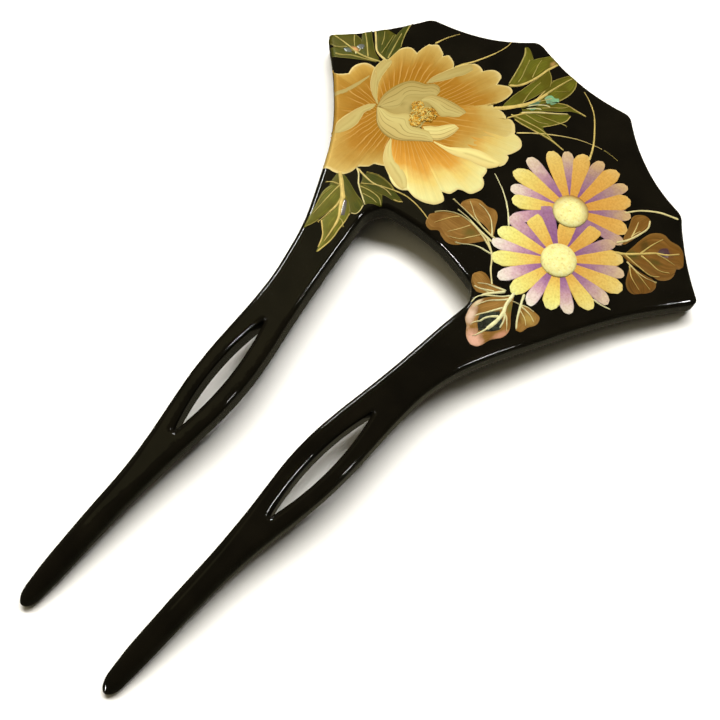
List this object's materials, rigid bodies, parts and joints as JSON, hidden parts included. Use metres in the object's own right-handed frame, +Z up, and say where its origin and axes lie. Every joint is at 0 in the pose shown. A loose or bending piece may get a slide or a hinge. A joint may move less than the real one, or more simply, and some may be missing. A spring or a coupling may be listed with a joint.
{
  "type": "kanzashi",
  "caption": "Fan-headed kanzashi, a two-prong hair stick in black lacquer with scalloped rim, pierced prongs and raised peony and chrysanthemum decoration.",
  "frame": {"origin": "middle of the piece's plan box, on the surface it lies on", "axes": "+Y from the prong tips to the fan's rim, +X across the fan to the right prong, +Z up out of the decorated face"},
  "size_m": [0.0861, 0.1424, 0.0097],
  "materials": {
    "black_lacquer": "wood under black urushi lacquer, polished to a mirror gloss",
    "gold_orange_petal": "lacquer dusted with gold and orange powder, fading to pale gold at the rims",
    "pale_gold_fold": "lacquer dusted with pale greenish gold powder",
    "gold_grain": "coarse gold grains in lacquer",
    "gold_petal": "lacquer dusted with fine gold powder",
    "purple_petal": "purple lacquer powder fading to pinkish white",
    "cream_gold_middle": "raised cream and gold powder lacquer",
    "green_leaf": "green-gold powder lacquer with gold lines",
    "brown_leaf": "copper-brown powder lacquer with gold lines",
    "gold_line": "fine drawn gold line",
    "shell": "thin mother-of-pearl, blue-green"
  },
  "bodies": {
    "root": {"body": "black_lacquer", "peony_petals": "gold_orange_petal", "peony_folds": "pale_gold_fold", "peony_cup": "pale_gold_fold", "peony_stamens": "gold_grain", "upper_chrysanthemum_gold": "gold_petal", "upper_chrysanthemum_purple": "purple_petal", "upper_chrysanthemum_middle": "cream_gold_middle", "lower_chrysanthemum_gold": "gold_petal", "lower_chrysanthemum_purple": "purple_petal", "lower_chrysanthemum_middle": "cream_gold_middle", "green_leaves": "green_leaf", "brown_leaves": "brown_leaf", "gold_grass": "gold_line", "shell_inlays": "shell"}
  },
  "joints": []
}
